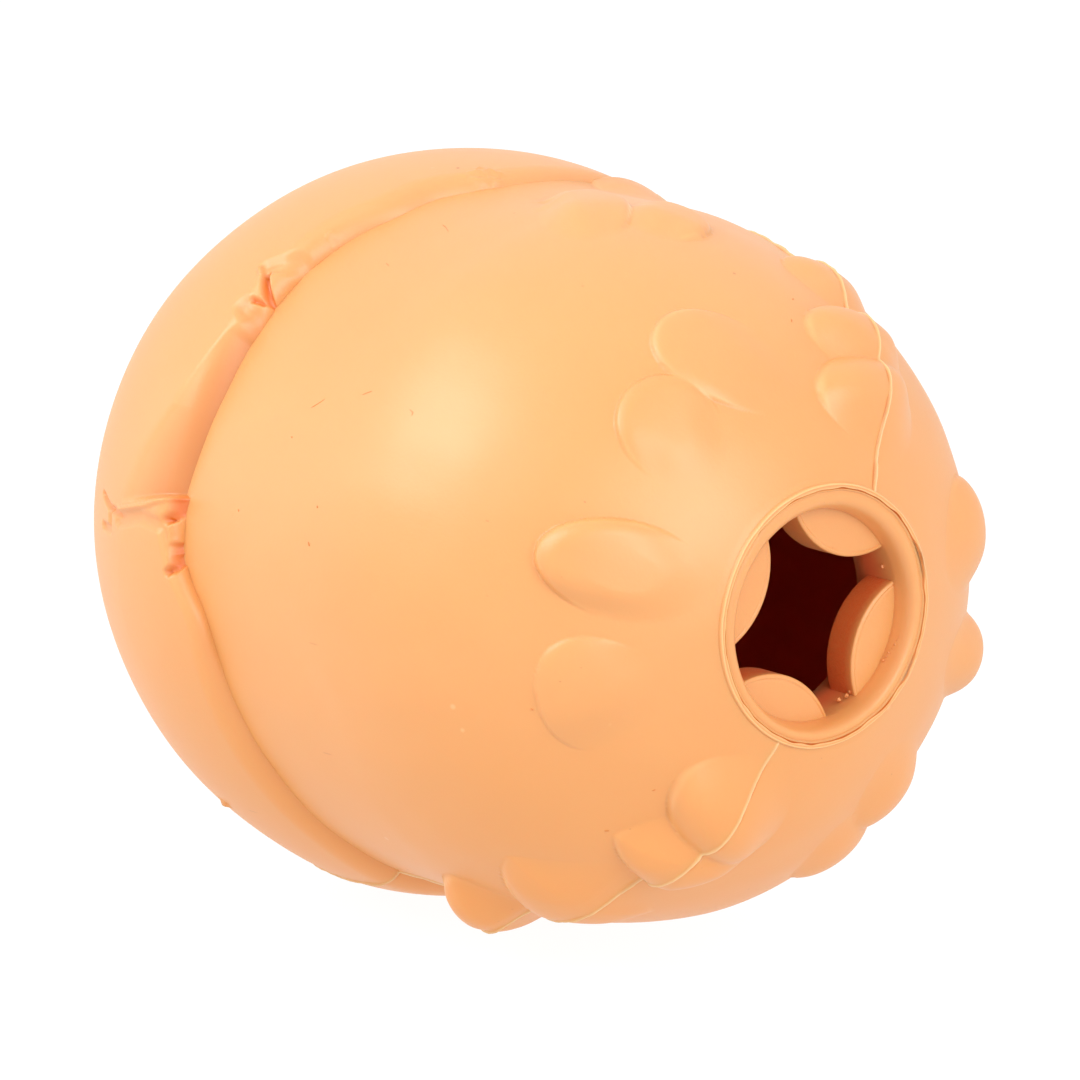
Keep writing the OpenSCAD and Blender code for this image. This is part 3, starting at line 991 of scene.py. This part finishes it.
def rubber(name, grain=1.0):
    """Satin natural rubber with cloudy tone, specks, short scratches and a fine grain.

    The float fields of a mesh colour it, most of them with painted shade: deep is the painted shade
    of the hollow and the bore, a saturated red, and wall the painted shade on a flap's side and
    rear face. Another field paints shade into pits, grooves and the lip's slit and gives hairs and
    chips their real dark. Another paints shade on the brim's flattened part, and pale paints a
    highlight on the lumps' rims and thin paler lines elsewhere. The colour is also painted with
    shade low down and with light on top.
    """
    material = bpy.data.materials.new(name)
    material.use_nodes = True
    tree = material.node_tree
    tree.nodes.clear()
    link = tree.links.new
    output = node(tree, "ShaderNodeOutputMaterial")
    shader = node(tree, "ShaderNodeBsdfPrincipled")
    shader.inputs["Roughness"].default_value = 0.42
    shader.inputs["Specular IOR Level"].default_value = 0.72
    shader.inputs["Subsurface Weight"].default_value = 0.2
    shader.inputs["Subsurface Radius"].default_value = (1.0, 0.35, 0.12)
    shader.inputs["Subsurface Scale"].default_value = 0.002
    shader.inputs["Sheen Weight"].default_value = 0.03
    shader.inputs["Sheen Roughness"].default_value = 0.45
    shader.inputs["Sheen Tint"].default_value = (1.0, 0.88, 0.84, 1)
    link(shader.outputs[0], output.inputs["Surface"])
    where = node(tree, "ShaderNodeTexCoord")

    def ranged(source, low, high, start=0.0, end=1.0):
        made = node(tree, "ShaderNodeMapRange")
        made.inputs["From Min"].default_value = low
        made.inputs["From Max"].default_value = high
        made.inputs["To Min"].default_value = start
        made.inputs["To Max"].default_value = end
        link(source, made.inputs["Value"])
        return made.outputs["Result"]

    def times(a, b):
        made = node(tree, "ShaderNodeMath", operation="MULTIPLY")
        link(a, made.inputs[0])
        link(b, made.inputs[1])
        return made.outputs[0]

    def mixed(factor, under, colour):
        made = node(tree, "ShaderNodeMix", data_type="RGBA")
        link(factor, made.inputs[0])
        link(under, made.inputs[6])
        made.inputs[7].default_value = tuple(colour) + (1,)
        return made.outputs[2]

    def field(key):
        return node(tree, "ShaderNodeAttribute", attribute_name=key).outputs["Fac"]

    def cells(scale, stretch=(1, 1, 1), tilt=(0, 0, 0)):
        moved = node(tree, "ShaderNodeMapping")
        moved.inputs["Scale"].default_value = stretch
        moved.inputs["Rotation"].default_value = tilt
        link(where.outputs["Object"], moved.inputs["Vector"])
        made = node(tree, "ShaderNodeTexVoronoi", Scale=scale)
        link(moved.outputs["Vector"], made.inputs["Vector"])
        parts = node(tree, "ShaderNodeSeparateColor")
        link(made.outputs["Color"], parts.inputs[0])
        return made.outputs["Distance"], parts.outputs[0], parts.outputs[1]

    # The scales of noise and cells are per metre, so that scale 38 is about 26 mm
    broad = node(tree, "ShaderNodeTexNoise", Scale=38.0, Detail=3.0)
    link(where.outputs["Object"], broad.inputs["Vector"])
    base = node(tree, "ShaderNodeMix", data_type="RGBA")
    base.inputs[6].default_value = shaded(CLOUD_DARK)
    base.inputs[7].default_value = shaded(CLOUD_LIGHT)
    link(ranged(broad.outputs["Fac"], 0.35, 0.65), base.inputs[0])
    colour = base.outputs[2]
    place = node(tree, "ShaderNodeSeparateXYZ")
    link(where.outputs["Object"], place.inputs[0])
    # Painted shade low down, near the floor, and painted light high up, on top
    colour = mixed(ranged(place.outputs[2], 0.034, 0.002, 0, 0.7), colour, LOW_PAINTED_SHADE)
    colour = mixed(ranged(place.outputs[2], 0.056, 0.075, 0, 0.5), colour, TOP_PAINTED_LIGHT)

    # Dark specks, pale flecks and short scratches, each in a few of its cells
    distance, pick, other = cells(230.0)
    speck = times(ranged(distance, 0.05, 0.03), ranged(pick, 0.86, 0.88))
    colour = mixed(times(speck, ranged(other, 0.2, 0.9, 0.25, 0.9)), colour, SPECK)
    distance, pick, other = cells(170.0)
    fleck = times(ranged(distance, 0.06, 0.03), ranged(pick, 0.82, 0.84))
    colour = mixed(times(fleck, ranged(other, 0, 1, 0.2, 0.6)), colour, FLECK)
    distance, pick, other = cells(90.0, (1, 9, 9), (0.5, 0.8, 0.3))
    scratch = times(ranged(distance, 0.09, 0.05), ranged(pick, 0.93, 0.95))
    colour = mixed(times(scratch, ranged(other, 0, 1, 0.2, 0.5)), colour, SCRATCH)

    # What the mesh's fields say
    # Painted shade on the brim's flattened part
    colour = mixed(field("facet_shade"), colour, FACET_SHADE)
    # A painted highlight on the lumps' rims, and paler thin lines along the moulding line and on
    # the lip
    colour = mixed(field("pale"), colour, PALE)
    # Painted shade in pits, grooves and the lip's slit, and the real dark of hairs and chips
    colour = mixed(field("recess_shade_and_hair"), colour, RECESS_SHADE_AND_HAIR)
    # Painted shade on the flaps' sides and rear faces, mottled
    wall = field("wall")
    mottle = node(tree, "ShaderNodeTexNoise", Scale=4200.0, Detail=3.0)
    link(where.outputs["Object"], mottle.inputs["Vector"])
    mottled_shade = times(wall, ranged(mottle.outputs["Fac"], 0.3, 0.7, 0.8, 1.0))
    colour = mixed(mottled_shade, colour, FLAP_SHADE)
    # Painted shade of the hollow and the bore, a saturated red
    colour = mixed(field("deep"), colour, HOLLOW_SHADE)
    link(colour, shader.inputs["Base Color"])

    # A fine grain all over, and a coarser one on the flaps' sides
    fine = node(tree, "ShaderNodeTexNoise", Scale=2600.0, Detail=2.0)
    link(where.outputs["Object"], fine.inputs["Vector"])
    bump = node(tree, "ShaderNodeBump")
    bump.inputs["Strength"].default_value = 0.12 * grain
    bump.inputs["Distance"].default_value = 0.0001
    link(fine.outputs["Fac"], bump.inputs["Height"])
    coarse = node(tree, "ShaderNodeBump")
    coarse.inputs["Strength"].default_value = 0.5
    coarse.inputs["Distance"].default_value = 0.00012
    link(times(wall, mottle.outputs["Fac"]), coarse.inputs["Height"])
    link(bump.outputs["Normal"], coarse.inputs["Normal"])
    link(coarse.outputs["Normal"], shader.inputs["Normal"])
    return material


def dress(pieces, material):
    """Gives pieces their material."""
    for piece in pieces:
        piece.data.materials.append(material)


dress(make_body() + [make_bits()], rubber("body_rubber"))
dress(make_cap(), rubber("cap_rubber"))
dress([make_mouth(), make_crumbs()], rubber("mouth_rubber"))
dress(
    [
        make_flap("flap_top", SEAM, 0.3),
        make_flap("flap_left", SEAM + 90),
        make_flap("flap_bottom", SEAM + 180),
        make_flap("flap_right", SEAM + 270),
    ],
    rubber("flap_rubber", 2.0),
)


# Floor, light and camera, in metres

FLOOR_HALF = 6.0
FLOOR_GLOW = 0.95
SKY_GLOW = 1.02
CAMERA_AT = (0.53889, -0.41168, 0.17861)
CAMERA_BACK = (0.7766, -0.5960, 0.2043)
CAMERA_LENS = 232.64


def glowing_white(name, glow):
    """A matt floor that glows, so that it comes out as white as the photograph's ground."""
    material = bpy.data.materials.new(name)
    material.use_nodes = True
    shader = material.node_tree.nodes["Principled BSDF"]
    shader.inputs["Base Color"].default_value = (0.06, 0.06, 0.06, 1)
    shader.inputs["Roughness"].default_value = 0.9
    shader.inputs["Emission Color"].default_value = (1, 1, 1, 1)
    shader.inputs["Emission Strength"].default_value = glow
    return material


floor = make_mesh(
    "floor",
    [
        (-FLOOR_HALF, -FLOOR_HALF, 0),
        (FLOOR_HALF, -FLOOR_HALF, 0),
        (FLOOR_HALF, FLOOR_HALF, 0),
        (-FLOOR_HALF, FLOOR_HALF, 0),
    ],
    [(0, 1, 2, 3)],
)
floor.data.materials.append(glowing_white("floor_white", FLOOR_GLOW))

world = bpy.data.worlds.new("studio")
bpy.context.scene.world = world
world.use_nodes = True
world.node_tree.nodes["Background"].inputs["Color"].default_value = (1, 1, 1, 1)
world.node_tree.nodes["Background"].inputs["Strength"].default_value = SKY_GLOW


def soft_box(name, azimuth, elevation, distance, size, power):
    """A square white light that faces the ball's middle. Azimuth is from +X towards +Y."""
    light = bpy.data.lights.new(name, "AREA")
    light.shape = "SQUARE"
    light.size = size
    light.energy = power
    made = bpy.data.objects.new(name, light)
    azimuth = math.radians(azimuth)
    elevation = math.radians(elevation)
    level = math.cos(elevation)
    back = Vector((math.cos(azimuth) * level, math.sin(azimuth) * level, math.sin(elevation)))
    made.location = Vector((0, 0, CAP_R * MM)) + back * distance
    made.rotation_mode = "QUATERNION"
    made.rotation_quaternion = back.to_track_quat("Z", "Y")
    bpy.context.scene.collection.objects.link(made)


soft_box("key", azimuth=-108, elevation=41, distance=0.6, size=0.36, power=1.9)
soft_box("front", azimuth=-8, elevation=25, distance=0.7, size=0.4, power=2.0)
soft_box("side", azimuth=-145, elevation=3, distance=0.7, size=0.5, power=0.5)

camera_data = bpy.data.cameras.new("camera")
camera_data.lens = CAMERA_LENS
camera_data.sensor_width = 36
camera_data.clip_start = 0.05
camera_data.clip_end = 50
camera = bpy.data.objects.new("camera", camera_data)
camera.location = CAMERA_AT
camera.rotation_mode = "QUATERNION"
camera.rotation_quaternion = Vector(CAMERA_BACK).to_track_quat("Z", "Y")
bpy.context.scene.collection.objects.link(camera)
bpy.context.scene.camera = camera
bpy.context.scene.view_settings.view_transform = "Standard"
